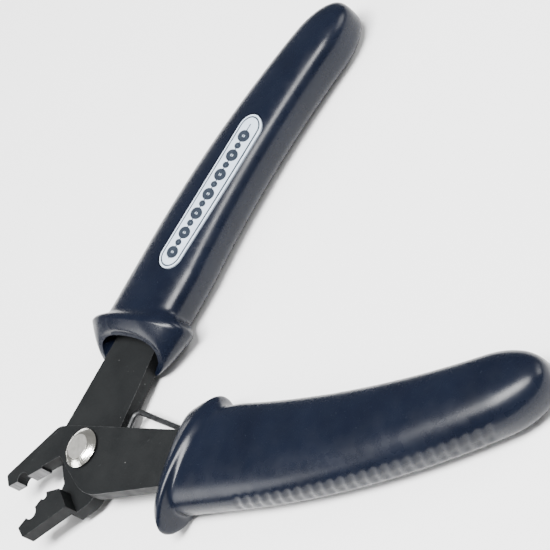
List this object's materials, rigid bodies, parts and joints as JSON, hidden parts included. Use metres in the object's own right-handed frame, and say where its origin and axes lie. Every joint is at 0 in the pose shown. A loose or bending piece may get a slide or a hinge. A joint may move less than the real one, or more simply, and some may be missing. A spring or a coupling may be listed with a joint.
{
  "type": "crimping pliers",
  "caption": "Small spring-opened crimping pliers with notched jaws, two flat steel halves on one rivet and ribbed cushion grips with finger guards.",
  "frame": {"origin": "on the hinge axis, at the back face of the rivet, in the plane the grips lie on", "axes": "+Z along the hinge axis from the rivet's spread end to its head; -X out between the open jaws; +X between the handles; +Y towards the handle of the back half"},
  "size_m": [0.1127, 0.1155, 0.0112],
  "materials": {
    "grip_navy": "glossy navy moulded grip",
    "black_oxide_steel": "black oxide, satin, with ground jaw lands",
    "nickel": "satin nickel with a bright bevel",
    "zinc": "zinc plated",
    "spring_wire": "blackened spring steel",
    "label_white": "white pill with a plain printed motif"
  },
  "bodies": {
    "front_half": {"front_plate": "black_oxide_steel", "lower_grip": "grip_navy", "pivot_rivet": "nickel", "rivet_ring": "zinc"},
    "back_half": {"back_plate": "black_oxide_steel", "upper_grip": "grip_navy", "label": "label_white"},
    "spring": {"return_spring": "spring_wire"}
  },
  "joints": [
    {"name": "pivot", "type": "hinge", "parent": "front_half", "child": "back_half", "pos_m": [0, 0, 0.005], "axis": [0, 0, -1], "range_deg": [0, 30], "stiffness_Nm_per_rad": 0.5, "springref_deg": -17.19},
    {"name": "spring_flex", "type": "hinge", "parent": "front_half", "child": "spring", "pos_m": [0.05446, 0.00684, 0.00335], "axis": [0, 0, 1], "range_deg": [0, 9]}
  ],
  "couplings": [
    {"joint": "spring_flex", "follows": "pivot", "ratio": 0.252}
  ]
}
